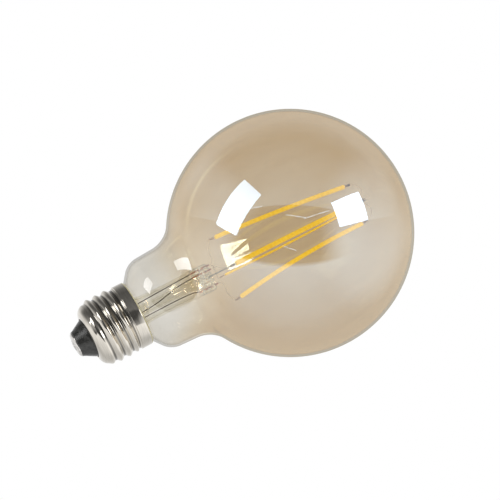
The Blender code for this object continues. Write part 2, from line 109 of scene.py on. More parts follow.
# Light-emitting strips, where the CAD's are, with their silicone's rounded section.
TOP_DEPTH = 120.9
TOP_RADIUS = 7.9
STRIP_WIDTH = 1.9
STRIP_THICKNESS = 0.85
STRIP_AZIMUTHS = (0.0, 99.0, 180.0, 270.0)
STRIP_FEET = ((12.5, 65.8), (12.5, 65.4), (12.1, 64.6), (12.4, 66.0))
STRIP_TWISTS = (50.0, 90.0, -50.0, 10.0)
STRIP_BOWS = (0.5, -0.4, 1.2, 0.2)
STRIP_CROWN = 2.8
STRIP_END = 0.4
STRIP_STEPS = 28
STRIP_ROWS = 150
CHIP_PITCH = 1.9

# Camera: distance from the globe's centre, height above the cap's cross plane, roll, and the
# two small turns that put the bulb where it sits in the frame.
VIEW_DISTANCE = 600.0
VIEW_HEIGHT = math.radians(14.2)
VIEW_ROLL = math.radians(117.6)
VIEW_PAN = math.radians(1.46)
VIEW_PITCH = math.radians(-0.62)
LENS_LENGTH = 112.55
SENSOR_WIDTH = 36.0

# How bright the studio is at each angle round the view's horizontal axis: 0 faces the
# camera, 90 is overhead, 180 is behind the bulb and -90 is the table below it.
STUDIO = (
    (-180, 1.0),
    (-150, 0.78),
    (-116, 0.66),
    (-100, 0.7),
    (-80, 0.87),
    (-60, 0.95),
    (-31, 1.15),
    (-27, 0.12),
    (-20, 0.06),
    (20, 0.08),
    (27, 0.2),
    (60, 0.14),
    (92, 0.11),
    (118, 0.18),
    (150, 0.5),
    (180, 1.0),
)
BRIGHTEST = 2.0
# Pale screens at the view's two sides. Each has its direction along the view's right, up and
# back, its levels below and above the eye line, the heights between which it changes, and how
# far towards it a direction points where the screen starts and where it is full.
RIGHT_SCREEN = ((0.98, 0.0, 0.12), (1.3, 0.75), (-0.2, 0.6), (0.5, 0.92))
LEFT_SCREEN = ((-1.0, 0.0, 0.0), (1.1, 0.12), (-0.3, 0.45), (0.66, 0.97))

# The ceiling's radiance above the camera and far behind, and the left wall's.
CEILING = (0.34, 0.0)
LEFT_WALL = (0.4, 0.4)
# Lit edges of stands beside the camera, the pale edge of the sweep at the far left, and the
# glow of the sweep above and behind: two ends each in metres along the view's right, up and
# back, a width in millimetres, a radiance and a colour. The wide ones fade out at their edges.
RODS = (
    ((-0.06, 0.275, 0.96), (0.25, 0.226, 0.941), 8.0, 2.6, WHITE),
    ((0.21, 0.215, 0.954), (0.563, 0.321, 0.761), 8.0, 2.6, WHITE),
    ((-0.111, -0.19, 0.975), (0.098, -0.262, 0.96), 8.0, 2.0, WHITE),
    ((-0.572, 0.349, 0.742), (-0.40, 0.389, 0.832), 8.0, 2.0, WHITE),
    ((-1.03, -0.2, -0.28), (-0.50, 0.95, -0.25), 160.0, 0.5, GOLDEN),
    ((-3.0, 0.766, -0.643), (3.0, 0.766, -0.643), 1450.0, 0.27, WHITE),
)
WIDE_ROD = 50.0

# Softboxes: azimuth, elevation and roll in degrees, sizes in millimetres, and radiances. Glass
# mirrors so little of them that they are brighter for the globe than for the metal, which
# would only burn out. FAR_WALL is what rays meet that have crossed the near wall already. The
# sparks are the boxes' hot middles, which the clear glass of the mount mirrors.
LEFT_BOX = (55, 37.4, 2.5)
LEFT_SIZE = (432, 735)
LEFT_RADIANCE = (2.6, 4.0)
LEFT_FAR_WALL = 1.3
LEFT_SIZE_ON_METAL = (390, 700)
LEFT_RADIANCE_ON_METAL = (2.7, 2.5)
LEFT_SPARK_SIZE = (200, 320)
RIGHT_BOX = (-8, -45, -10.8)
RIGHT_SIZE = (380, 549)
RIGHT_RADIANCE = (4.2, 4.2)
RIGHT_FAR_WALL = 27.0
RIGHT_SIZE_ON_METAL = (390, 560)
RIGHT_RADIANCE_ON_METAL = (3.0, 3.0)
RIGHT_SPARK_SIZE = (180, 260)
SPARK_RADIANCE = (36, 36)

# The floor's depth in millimetres and its width in metres.
FLOOR_DEPTH = 205.0
FLOOR_WIDTH = 60.0


def point(x, y, depth):
    """A point in metres from two offsets and a depth in millimetres."""
    return Vector((x, y, -depth)) * MM


def arc(centre, radius, start, end, count):
    """(radius, depth) points on an arc in the profile plane, angles in degrees."""
    points = []
    for step in range(count + 1):
        turn = math.radians(start + (end - start) * step / count)
        points.append((centre[0] + radius * math.cos(turn), centre[1] + radius * math.sin(turn)))
    return points


# ---------------------------------------------------------------- camera and studio


def camera_axes():
    """The view's right, up and back directions before its pan and pitch."""
    back = Vector((0.0, -math.cos(VIEW_HEIGHT), math.sin(VIEW_HEIGHT)))
    right = Vector((0.0, 0.0, 1.0)).cross(back).normalized()
    up = back.cross(right)
    rolled_right = right * math.cos(VIEW_ROLL) - up * math.sin(VIEW_ROLL)
    rolled_up = right * math.sin(VIEW_ROLL) + up * math.cos(VIEW_ROLL)
    return rolled_right, rolled_up, back


def make_camera():
    right, up, back = camera_axes()
    data = bpy.data.cameras.new("view_camera")
    data.sensor_width = SENSOR_WIDTH
    data.lens = LENS_LENGTH
    camera = bpy.data.objects.new("view_camera", data)
    bpy.context.scene.collection.objects.link(camera)
    turned = Matrix((right, up, back)).transposed().to_4x4()
    turned = turned @ Matrix.Rotation(VIEW_PAN, 4, "Y") @ Matrix.Rotation(VIEW_PITCH, 4, "X")
    place = point(0, 0, GLOBE_DEPTH) + back * VIEW_DISTANCE * MM
    camera.matrix_world = Matrix.Translation(place) @ turned
    bpy.context.scene.camera = camera


def make_lamp(name, place, axes, size, radiance, soft=False, through=None, colour=WHITE):
    """A rectangular lamp, in millimetres, that shines along its -Z. Its radiance runs evenly
    between the two given values, from its lower edge to its upper one. A soft lamp also
    fades out towards all its edges. through is its radiance for rays that have crossed glass."""
    data = bpy.data.lights.new(name, "AREA")
    data.shape = "RECTANGLE"
    data.size = size[0] * MM
    data.size_y = size[1] * MM
    data.energy = math.pi * data.size * data.size_y
    data.color = colour
    data.use_nodes = True
    tree = data.node_tree
    tree.nodes.clear()
    where = add(tree, "ShaderNodeNewGeometry").outputs["Parametric"]
    sides = add(tree, "ShaderNodeSeparateXYZ", {0: where}).outputs
    strength = mixed(tree, sides["Y"], *radiance)
    if soft:
        for side in (sides["X"], sides["Y"]):
            hump = math_node(tree, "SINE", times(tree, side, math.pi))
            strength = times(tree, strength, times(tree, hump, hump))
    if through is not None:
        crossed = add(tree, "ShaderNodeLightPath").outputs["Transparent Depth"]
        strength = mixed(tree, math_node(tree, "MINIMUM", crossed, 1.0), strength, through)
    glow = add(tree, "ShaderNodeEmission", {"Strength": strength})
    output = add(tree, "ShaderNodeOutputLight")
    tree.links.new(glow.outputs[0], output.inputs["Surface"])
    lamp = bpy.data.objects.new(name, data)
    bpy.context.scene.collection.objects.link(lamp)
    lamp.matrix_world = Matrix.Translation(place) @ axes
    lamp.visible_camera = False
    return lamp


def make_softbox(name, azimuth, elevation, roll, size, radiance, through=None):
    """A lamp a metre away that faces the globe's centre, at a direction given in degrees."""
    a = math.radians(azimuth)
    e = math.radians(elevation)
    back = Vector((math.sin(a) * math.cos(e), -math.cos(a) * math.cos(e), math.sin(e)))
    right = Vector((0.0, 0.0, 1.0)).cross(back).normalized()
    axes = Matrix((right, back.cross(right), back)).transposed().to_4x4()
    axes = axes @ Matrix.Rotation(math.radians(roll), 4, "Z")
    return make_lamp(name, point(0, 0, GLOBE_DEPTH) + back, axes, size, radiance, through=through)


def seen_from_camera(right, up, back):
    """A vector from its shares along the view's axes."""
    axes = camera_axes()
    return axes[0] * right + axes[1] * up + axes[2] * back


def make_ceiling():
    """The room's dim ceiling, which only the glass mirrors. It fades out towards the rear."""
    height = 1000.0
    width = 12000.0
    front = 2140.0
    rear = 3000.0
    right, up, back = camera_axes()
    axes = Matrix((right, -back, up)).transposed().to_4x4()
    place = point(0, 0, GLOBE_DEPTH) + (up * height + back * (front - rear) / 2) * MM
    return make_lamp("ceiling", place, axes, (width, front + rear), CEILING)


def make_left_wall():
    """A dim wall at the view's left, which only the globe mirrors. It fades out at its edges."""
    distance = 1000.0
    height = 520.0
    size = (4400.0, 1500.0)
    right, up, back = camera_axes()
    axes = Matrix((back, up, -right)).transposed().to_4x4()
    place = point(0, 0, GLOBE_DEPTH) + (up * height - right * distance) * MM
    return make_lamp("left_wall", place, axes, size, LEFT_WALL, soft=True)


def make_rod(name, start, end, width, radiance, colour):
    """A bright rod between two ends in the view's axes, facing the globe. A wide one is soft."""
    start = seen_from_camera(*start)
    end = seen_from_camera(*end)
    back = (start + end).normalized()
    along = (end - start).normalized()
    axes = Matrix((along.cross(back), along, back)).transposed().to_4x4()
    size = (width, (end - start).length / MM)
    place = point(0, 0, GLOBE_DEPTH) + (start + end) / 2
    soft = width > WIDE_ROD
    return make_lamp(name, place, axes, size, (radiance, radiance), soft, colour=colour)


def lights(lamp, pieces, state):
    """Keeps a lamp to some pieces (INCLUDE), or keeps it off those pieces (EXCLUDE)."""
    receivers = bpy.data.collections.new(lamp.name + "_receivers")
    for piece in pieces:
        receivers.objects.link(piece)
    lamp.light_linking.receiver_collection = receivers
    for linked in receivers.collection_objects:
        linked.light_linking.link_state = state


def add(tree, kind, inputs=None, **settings):
    """A node with its settings, and its inputs linked to sockets or set to values."""
    made = tree.nodes.new(kind)
    for key, value in settings.items():
        setattr(made, key, value)
    for key, value in (inputs or {}).items():
        socket = made.inputs[key]
        if isinstance(value, bpy.types.NodeSocket):
            tree.links.new(value, socket)
        else:
            socket.default_value = value
    return made


def math_node(tree, operation, first, second=0.0):
    return add(tree, "ShaderNodeMath", {0: first, 1: second}, operation=operation).outputs[0]


def times(tree, first, second):
    return math_node(tree, "MULTIPLY", first, second)


def ramp(tree, factor, stops):
    """A colour ramp through (place, colour) stops. A bare number is a grey."""
    made = add(tree, "ShaderNodeValToRGB", {"Fac": factor})
    elements = made.color_ramp.elements
    while len(elements) < len(stops):
        elements.new(0.5)
    for element, (place, colour) in zip(elements, stops):
        element.position = place
        element.color = (*colour, 1.0) if isinstance(colour, tuple) else (colour,) * 3 + (1.0,)
    return made.outputs["Color"]


def dot(tree, direction, axis):
    made = add(tree, "ShaderNodeVectorMath", {0: direction, 1: axis}, operation="DOT_PRODUCT")
    return made.outputs["Value"]


def mixed(tree, factor, first, second):
    """A number between two others."""
    inputs = {0: factor, 2: first, 3: second}
    return add(tree, "ShaderNodeMix", inputs, data_type="FLOAT").outputs[0]


def blended(tree, factor, first, second):
    """A colour between two others."""
    inputs = {0: factor, 6: first, 7: second}
    return add(tree, "ShaderNodeMix", inputs, data_type="RGBA").outputs[2]


def covered(tree, amount, under, over):
    """A surface between two others."""
    return add(tree, "ShaderNodeMixShader", {0: amount, 1: under, 2: over}).outputs[0]


def make_world():
    """White to the eye and for soft light. Reflections see the table, room, screens and sweep."""
    world = bpy.data.worlds.new("studio")
    bpy.context.scene.world = world
    world.use_nodes = True
    tree = world.node_tree
    tree.nodes.clear()
    direction = add(tree, "ShaderNodeTexCoord").outputs["Generated"]
    height = dot(tree, direction, seen_from_camera(0, 1, 0))
    angle = math_node(tree, "ARCTAN2", height, dot(tree, direction, seen_from_camera(0, 0, 1)))
    share = math_node(tree, "ADD", math_node(tree, "DIVIDE", angle, 2 * math.pi), 0.5)
    stops = [((degrees + 180) / 360, value / BRIGHTEST) for degrees, value in STUDIO]
    level = times(tree, ramp(tree, share, stops), BRIGHTEST)
    for toward, levels, heights, reach in (RIGHT_SCREEN, LEFT_SCREEN):
        shade = map_range(tree, height, *heights, *levels)
        cover = map_range(tree, dot(tree, direction, seen_from_camera(*toward)), *reach)
        level = mixed(tree, cover, level, shade)
    rays = add(tree, "ShaderNodeLightPath").outputs
    mirrored = math_node(tree, "MAXIMUM", rays["Is Glossy Ray"], rays["Is Transmission Ray"])
    strength = mixed(tree, mirrored, 1.0, level)
    background = add(tree, "ShaderNodeBackground", {"Color": (*WHITE, 1.0), "Strength": strength})
    output = add(tree, "ShaderNodeOutputWorld")
    tree.links.new(background.outputs[0], output.inputs["Surface"])


def make_floor():
    """A pale floor well below the globe. Only the eye sees it, so the right softbox, which
    hangs lower than the floor, still lights the bulb."""
    bpy.ops.mesh.primitive_plane_add(size=FLOOR_WIDTH, location=point(0, 0, FLOOR_DEPTH))
    floor = bpy.context.object
    floor.name = "floor"
    tree = new_material("floor_white")
    glow = add(tree, "ShaderNodeEmission", {"Color": (*WHITE, 1.0), "Strength": 1.0})
    finish_material(tree, glow.outputs[0], floor)
    for ray in ("visible_diffuse", "visible_glossy", "visible_transmission", "visible_shadow"):
        setattr(floor, ray, False)


# ---------------------------------------------------------------- materials


def new_material(name):
    made = bpy.data.materials.new(name)
    made.use_nodes = True
    made.node_tree.nodes.clear()
    made.node_tree["owner"] = name
    return made.node_tree


def finish_material(tree, surface, *things):
    """Ends a material with this surface and gives it to the objects."""
    output = add(tree, "ShaderNodeOutputMaterial")
    tree.links.new(surface, output.inputs["Surface"])
    material = bpy.data.materials[tree["owner"]]
    for thing in things:
        thing.data.materials.clear()
        thing.data.materials.append(material)
    return material


def object_place(tree):
    return add(tree, "ShaderNodeTexCoord").outputs["Object"]


def scaled_place(tree, factors):
    """The shaded point in the object, with each coordinate times its factor."""
    inputs = {0: object_place(tree), 1: factors}
    return add(tree, "ShaderNodeVectorMath", inputs, operation="MULTIPLY").outputs[0]


def object_depth(tree):
    """Depth in millimetres at a shaded point."""
    height = add(tree, "ShaderNodeSeparateXYZ", {0: object_place(tree)}).outputs["Z"]
    return times(tree, height, -1 / MM)


def noise_at(tree, place, scale, detail=3.0):
    """Noise with a scale in features per metre."""
    inputs = {"Vector": place, "Scale": scale, "Detail": detail}
    return add(tree, "ShaderNodeTexNoise", inputs).outputs["Fac"]


def rough_noise(tree, scale, detail=3.0):
    return noise_at(tree, object_place(tree), scale, detail)


def map_range(tree, value, low, high, to_low=0.0, to_high=1.0):
    """A smooth step from one value to another, between low and high."""
    inputs = {0: value, 1: low, 2: high, 3: to_low, 4: to_high}
    return add(tree, "ShaderNodeMapRange", inputs, interpolation_type="SMOOTHSTEP").outputs[0]


def bump(tree, height, distance):
    """A normal from a height map whose full height is a distance in millimetres."""
    return add(tree, "ShaderNodeBump", {"Height": height, "Distance": distance * MM}).outputs[0]


# What one skin of the glass lets through, in the amber globe and in the nearly clear neck. A
# ray crosses four skins in all.
AMBER_SKIN = (0.856, 0.754, 0.598)
NECK_SKIN = (0.858, 0.844, 0.812)
# The depths between which the neck's tint turns to amber. On the flank further out than
# TINT_EDGE towards -X it turns sooner, by TINT_TILT for each millimetre.
TINT_RANGE = (36.0, 68.0)
TINT_TILT = 1.1
TINT_EDGE = 8.0
STREAKS = 0.3
# Where the painted dark outline starts and is full, as facing_away gives it, and how full. At the
# outline the outer skin lets through OUTLINE of the light: painted shade where the wall is edge on.
NECK_OUTLINE = (0.55, 0.76, 0.0, 0.7)
GLOBE_OUTLINE = (0.75, 0.85, 0.0, 1.0)
OUTLINE = 0.71
# How much of the light a wall mirrors and in what colour, face on and at a slant.
GLOBE_MIRROR = (0.26, 0.36)
NECK_MIRROR = (0.085, 0.25)
LUSTRE = (0.55, 0.77, 1.0, 1.0)
SLANT_LUSTRE = (0.82, 0.86, 0.8, 1.0)
INNER_SHARE = 0.42
# What the mount's tubing lets through, and how softly each glass deepens at a slant.
CLEAR_SKIN = (0.988, 0.984, 0.968)
GLOBE_SOFTNESS = 1.5
TUBE_SOFTNESS = 0.01


def facing_away(tree):
    """0 where a surface faces the viewer, 1 where it is seen edge on."""
    return add(tree, "ShaderNodeLayerWeight", {"Blend": 0.5}).outputs["Facing"]


def front_side(tree):
    """1 on the faces turned to the viewer, and 0 on the backs of faces."""
    away = add(tree, "ShaderNodeNewGeometry").outputs["Backfacing"]
    return math_node(tree, "SUBTRACT", 1.0, away)


def slant_path(tree, facing, softness):
    """How many wall thicknesses a ray crosses at this slant. softness keeps it finite."""
    cosine = math_node(tree, "SUBTRACT", 1.0, facing)
    squared = math_node(tree, "ADD", times(tree, cosine, cosine), softness)
    return math_node(tree, "DIVIDE", 1.0, math_node(tree, "SQRT", squared))


def blown_streaks(tree):
    """Faint lengthwise streaks in the glass, from -0.5 to 0.5."""
    lengthwise = scaled_place(tree, (1.0, 1.0, 0.12))
    return math_node(tree, "SUBTRACT", noise_at(tree, lengthwise, 190.0), 0.5)


def see_through(tree, channels):
    """A clear surface that lets these shares of red, green and blue through."""
    tint = add(tree, "ShaderNodeCombineColor", dict(enumerate(channels))).outputs[0]
    return add(tree, "ShaderNodeBsdfTransparent", {"Color": tint}).outputs[0]


def amber_share(tree):
    """0 in the nearly clear neck and 1 in the amber globe."""
    across = add(tree, "ShaderNodeSeparateXYZ", {0: object_place(tree)}).outputs["X"]
    past_edge = math_node(tree, "MINIMUM", math_node(tree, "ADD", across, TINT_EDGE * MM), 0.0)
    sooner = times(tree, past_edge, TINT_TILT / MM)
    return map_range(tree, math_node(tree, "SUBTRACT", object_depth(tree), sooner), *TINT_RANGE)


def glass_tint(tree, amber, facing, outline):
    """The clear part of a skin: deeper where it is crossed at a slant, and greyed by painted shade where
    it is edge on.
    """
    streaks = times(tree, blown_streaks(tree), STREAKS)
    path = slant_path(tree, facing, GLOBE_SOFTNESS)
    path = times(tree, path, math_node(tree, "ADD", streaks, 1.0))
    # Painted shade: the skin lets less light through where it is seen edge on, a dark outline.
    neck_edge = map_range(tree, facing, *NECK_OUTLINE)
    globe_edge = map_range(tree, facing, *GLOBE_OUTLINE)
    grey = mixed(tree, mixed(tree, amber, neck_edge, globe_edge), 1.0, outline)
    channels = []
    for neck, globe in zip(NECK_SKIN, AMBER_SKIN):
        skin = mixed(tree, amber, neck, globe)
        channels.append(times(tree, grey, math_node(tree, "POWER", skin, path)))
    return see_through(tree, channels)


def glass_material(name, mirror_share, outline):
    """Thin amber glass with a lustre: it mirrors on the faces turned to the viewer and tints
    more where it is crossed at a slant. The tint and the lustre fade out towards the neck.
    outline is the share of light that the wall lets through where it is edge on, a painted dark outline."""
    tree = new_material(name)
    amber = amber_share(tree)
    facing = facing_away(tree)
    lustre = blended(tree, math_node(tree, "POWER", facing, 1.5), LUSTRE, SLANT_LUSTRE)
    lustre = blended(tree, amber, (*WHITE, 1.0), lustre)
    mirror = add(tree, "ShaderNodeBsdfGlossy", {"Color": lustre, "Roughness": 0.0}).outputs[0]
    face_on = mixed(tree, amber, NECK_MIRROR[0], GLOBE_MIRROR[0])
    grazing = mixed(tree, amber, NECK_MIRROR[1], GLOBE_MIRROR[1])
    amount = mixed(tree, math_node(tree, "POWER", facing, 4.0), face_on, grazing)
    amount = times(tree, amount, times(tree, front_side(tree), mirror_share))
    amount = times(tree, amount, map_range(tree, facing, 0.8, 1.0, 1.0, 0.5))
    return tree, covered(tree, amount, glass_tint(tree, amber, facing, outline), mirror)


def under_sheen(tree, surface, normal):
    """The surface with a clear mirror on the faces turned to the viewer, stronger at a slant."""
    shine = add(tree, "ShaderNodeBsdfGlossy", {"Roughness": 0.02, "Normal": normal}).outputs[0]
    amount = mixed(tree, math_node(tree, "POWER", facing_away(tree), 3.0), 0.06, 0.4)
    return covered(tree, times(tree, amount, front_side(tree)), surface, shine)


def thin_glass_material():
    """Clear tubing: see-through face on, with a thin grey outline and faint drawn lines. Its
    surface waves more towards the press, where the glass was softened."""
    tree = new_material("stem_tube_glass")
    streaks = map_range(tree, rough_noise(tree, 700.0), 0.45, 0.75, 1.0, 1.5)
    path = times(tree, slant_path(tree, facing_away(tree), TUBE_SOFTNESS), streaks)
    clear = see_through(tree, [math_node(tree, "POWER", skin, path) for skin in CLEAR_SKIN])
    waves = map_range(tree, object_depth(tree), JAW_START - 8.0, JAW_START, 0.1, 1.0)
    ripple = times(tree, rough_noise(tree, 420.0, 1.0), waves)
    return tree, under_sheen(tree, clear, bump(tree, ripple, 1.2))


def press_glass_material():
    """Solid clear glass that bends light, with seeds and ripples. Lamps shine through it."""
    tree = new_material("press_glass")
    seeds = bump(tree, map_range(tree, rough_noise(tree, 1400.0, 1.0), 0.58, 0.68), 0.5)
    inputs = {"Color": (0.99, 0.992, 0.985, 1.0), "IOR": 1.45, "Normal": seeds}
    bent = add(tree, "ShaderNodeBsdfGlass", inputs).outputs[0]
    clear = add(tree, "ShaderNodeBsdfTransparent", {"Color": (0.93, 0.94, 0.92, 1.0)}).outputs[0]
    shadow = add(tree, "ShaderNodeLightPath").outputs["Is Shadow Ray"]
    inside = covered(tree, mixed(tree, shadow, 0.6, 1.0), bent, clear)
    return tree, under_sheen(tree, inside, bump(tree, rough_noise(tree, 500.0, 1.0), 0.25))


# Painted glow: the phosphor gives off its own colour at this strength, though the bulb is off, so that it
# looks brighter than the lamps alone would make it.
PHOSPHOR_PAINTED_GLOW = 0.7


def phosphor_material():
    """Yellow phosphor in silicone: paler over each chip, grainy, with a soft sheen, painted shade that
    turns it dark orange where it is seen edge on, and a painted glow.
    """
    tree = new_material("phosphor_silicone")
    wave = math_node(tree, "SINE", times(tree, object_depth(tree), 2 * math.pi / CHIP_PITCH))
    chips = times(tree, map_range(tree, wave, -0.2, 0.9), 0.22)
    grain = rough_noise(tree, 1600.0)
    colour = ramp(tree, grain, [(0.3, (0.78, 0.54, 0.012)), (0.7, (0.93, 0.73, 0.035))])
    colour = blended(tree, chips, colour, (0.98, 0.84, 0.16, 1.0))
    # Painted shade: towards its edges, as seen, the phosphor darkens to orange.
    edge = map_range(tree, facing_away(tree), 0.35, 0.95, 0.0, 0.8)
    colour = blended(tree, edge, colour, (0.56, 0.25, 0.008, 1.0))
    # Painted glow: the phosphor shines with its own colour, though it is no lamp.
    glow = {"Emission_Color": colour, "Emission_Strength": PHOSPHOR_PAINTED_GLOW}
    coat = {"Coat_Weight": 1.0, "Coat_Roughness": 0.12}
    normal = bump(tree, grain, 0.05)
    return tree, principled(tree, Base_Color=colour, Roughness=0.45, Normal=normal, **glow, **coat)


def principled(tree, **inputs):
    """A Principled surface. An input's name has _ for its spaces."""
    names = {key.replace("_", " "): value for key, value in inputs.items()}
    return add(tree, "ShaderNodeBsdfPrincipled", names).outputs[0]


def metal_material(name, dark, light, roughness, scale=900.0, bump_mm=0.01):
    """A metal between two colours, with fine mottling in colour, polish and surface."""
    tree = new_material(name)
    mottle = rough_noise(tree, scale)
    colour = ramp(tree, mottle, [(0.3, dark), (0.7, light)])
    polish = map_range(tree, mottle, 0.3, 0.7, roughness * 0.7, roughness * 1.3)
    normal = bump(tree, rough_noise(tree, scale * 3), bump_mm)
    return tree, principled(tree, Base_Color=colour, Metallic=1.0, Roughness=polish, Normal=normal)


def plain_material(name, dark, light, roughness, scale=900.0, bump_mm=0.02):
    """A non-metal between two colours, with fine mottling."""
    tree = new_material(name)
    mottle = rough_noise(tree, scale)
    colour = ramp(tree, mottle, [(0.3, dark), (0.7, light)])
    polish = map_range(tree, mottle, 0.3, 0.7, roughness * 0.8, roughness * 1.2)
    normal = bump(tree, rough_noise(tree, scale * 3), bump_mm)
    return tree, principled(tree, Base_Color=colour, Roughness=polish, Normal=normal)


# ---------------------------------------------------------------- pieces


def mesh_piece(name, verts, faces, slot, *nodes):
    """A smooth-shaded piece that rides on the bulb and stands for CAD nodes."""
    mesh = bpy.data.meshes.new(name)
    mesh.from_pydata(verts, [], faces)
    mesh.validate()
    mesh.shade_smooth()
    made = bpy.data.objects.new(name, mesh)
    bpy.context.scene.collection.objects.link(made)
    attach(made, "root")
    if nodes:
        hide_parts(*nodes)
    return made


def revolve(profile, steps, shape=None, closed=True):
    """Rings of vertices from a profile of (radius, depth), and quads between them. shape may
    move each (radius, depth, angle) to another radius. A profile point on the axis is one
    vertex."""
    verts = []
    rings = []
    faces = []
    for radius, depth in profile:
        if radius < 1e-6:
            rings.append([len(verts)] * steps)
            verts.append(point(0, 0, depth))
            continue
        rings.append(list(range(len(verts), len(verts) + steps)))
        for step in range(steps):
            angle = 2 * math.pi * step / steps
            grown = shape(radius, depth, angle) if shape else radius
            verts.append(point(grown * math.cos(angle), grown * math.sin(angle), depth))
    last = len(rings) if closed else len(rings) - 1
    for index in range(last):
        here = rings[index]
        there = rings[(index + 1) % len(rings)]
        for step in range(steps):
            after = (step + 1) % steps
            corners = list(dict.fromkeys([here[step], here[after], there[after], there[step]]))
            if len(corners) > 2:
                faces.append(corners[::-1])
    return verts, faces


def offset_inwards(profile, wall):
    """The profile moved by the wall's thickness to its inner side."""
    moved = []
    for index, (radius, depth) in enumerate(profile):
        before = profile[max(0, index - 1)]
        after = profile[min(len(profile) - 1, index + 1)]
        along = Vector((after[0] - before[0], after[1] - before[1])).normalized()
        inward = Vector((-along.y, along.x))
        if radius < 1e-6:
            moved.append((0.0, depth - wall))
        else:
            moved.append((max(0.0, radius + inward.x * wall), depth + inward.y * wall))
    return moved


def between(first, second, share):
    """The point at a share of the way from one profile point to another."""
    return (first[0] + (second[0] - first[0]) * share, first[1] + (second[1] - first[1]) * share)


def envelope_profile():
    """The glass's outer side: throat, cone, shoulder, neck, hollow and globe."""
    bend_centre = 10.0
    shoulder = arc((bend_centre, NECK_START), NECK_RADIUS - bend_centre, -45, 0, 24)
    neck_end = NECK_RADIUS + NECK_TAPER
    rise = GLOBE_DEPTH - FILLET_START
    fillet = (neck_end**2 + rise**2 - GLOBE_RADIUS**2) / (2 * (GLOBE_RADIUS - neck_end))
    centre = (neck_end + fillet, FILLET_START)
    tangent = math.degrees(math.atan2(rise, centre[0]))
    hollow = arc(centre, fillet, 180, 180 - tangent, 24)
    globe = arc((0.0, GLOBE_DEPTH), GLOBE_RADIUS, -tangent, 90, 90)
    bend = 0.35
    throat = [(THROAT_RADIUS, THROAT_TOP), (THROAT_RADIUS, CONE_START - 2 * bend)]
    throat += [(THROAT_RADIUS + bend * 0.3, CONE_START - 0.7 * bend), (THROAT_RADIUS + bend, CONE_START)]
    cone = [between(throat[-1], shoulder[0], step / 6) for step in range(1, 6)]
    profile = throat + cone + shoulder + hollow + globe[1:]
    profile[-1] = (0.0, OVERALL_LENGTH)
    return profile


def make_globe():
    """The closed glass wall. Its outer and inner skins are two materials."""
    outer = envelope_profile()
    inner = offset_inwards(outer, GLASS_WALL)
    verts, faces = revolve(outer + inner[::-1], GLOBE_STEPS)
    made = mesh_piece("globe_glass", verts, faces, "amber_glass", "globe_envelope")
    skins = (("amber_lustre_outside", 1.0, OUTLINE), ("amber_lustre_inside", INNER_SHARE, 1.0))
    for name, mirror_share, outline in skins:
        tree, surface = glass_material(name, mirror_share, outline)
        made.data.materials.append(finish_material(tree, surface))
    for face in made.data.polygons:
        face.material_index = int(face.index // GLOBE_STEPS >= len(outer))
    return made


def shell_profile():
    """The cap's outer side before its thread is rolled: lip, thread and collar."""
    lip = []
    for step in range(16):
        turn = math.radians(90 * step / 15)
        radius = SHELL_LIP_RADIUS + (THREAD_CORE - SHELL_LIP_RADIUS) * math.sin(turn)
        lip.append((radius, THREAD_START - (THREAD_START - SHELL_TOP) * math.cos(turn)))
    rows = 150
    ends = (THREAD_CORE, THREAD_START), (THREAD_CORE, THREAD_END)
    rolled = [between(*ends, row / rows) for row in range(1, rows)]
    bend = 0.35
    collar = arc((THREAD_CORE, THREAD_END + bend), bend, -90, 0, 4)
    collar += arc((COLLAR_RADIUS, THREAD_END + bend), COLLAR_RADIUS - THREAD_CORE - bend, 180, 90, 5)[1:]
    collar += [(COLLAR_RADIUS, depth) for depth in (THREAD_END + 1.0, THREAD_END + 2.5, CAP_HEIGHT - 0.3)]
    collar += [(COLLAR_RADIUS - 0.04, CAP_HEIGHT - 0.1), (COLLAR_RADIUS - 0.12, CAP_HEIGHT)]
    return lip + rolled + collar


def thread_height(angle, depth):
    """How far the knuckle thread stands out at an azimuth and a depth."""
    start = min(1.0, max(0.0, (depth - THREAD_START + THREAD_FADE) / (2 * THREAD_FADE)))
    end = min(1.0, max(0.0, (THREAD_END - depth) / THREAD_FADE))
    turns = (depth - THREAD_PHASE) / THREAD_PITCH + angle / (2 * math.pi)
    wave = 0.5 + 0.5 * math.cos(2 * math.pi * turns)
    ridges = ROLLING_RIDGE * math.cos(2 * math.pi * RIDGES_PER_TURN * turns)
    return ((THREAD_RADIUS - THREAD_CORE) * wave + ridges) * min(start, end)


def nickel_material():
    """Bright nickel with rolling marks round the thread, and painted shade that darkens its roots."""
    tree = new_material("nickel_plated")
    flat = scaled_place(tree, (1.0, 1.0, 0.0))
    radius = add(tree, "ShaderNodeVectorMath", {0: flat}, operation="LENGTH").outputs["Value"]
    # Painted shade: the roots of the thread, all but near the lip, are near black.
    crest = map_range(tree, radius, (THREAD_CORE + 0.01) * MM, (THREAD_CORE + 0.2) * MM, 0.2, 1.0)
    lip = map_range(tree, object_depth(tree), THREAD_START, THREAD_START + 1.2, 1.0, 0.0)
    unshaded = math_node(tree, "MAXIMUM", crest, lip)
    marks = noise_at(tree, scaled_place(tree, (1.0, 1.0, 9.0)), 260.0, 4.0)
    bright = ramp(tree, marks, [(0.3, (0.62, 0.585, 0.52)), (0.7, (0.73, 0.69, 0.62))])
    colour = blended(tree, unshaded, (0.11, 0.105, 0.095, 1.0), bright)
    polish = map_range(tree, marks, 0.35, 0.75, 0.03, 0.09)
    normal = bump(tree, marks, 0.012)
    return tree, principled(tree, Base_Color=colour, Metallic=1.0, Roughness=polish, Normal=normal)


def make_shell():
    """The screw shell: a thin wall with the thread rolled into both of its sides."""

    def rolled(radius, depth, angle):
        return radius + thread_height(angle, depth)

    outer = shell_profile()
    inner = offset_inwards(outer, SHELL_WALL)
    verts, faces = revolve(outer + inner[::-1], CAP_STEPS, rolled)
    made = mesh_piece("cap_shell", verts, faces, "nickel_plate", "screw_shell")
    tree, surface = nickel_material()
    finish_material(tree, surface, made)


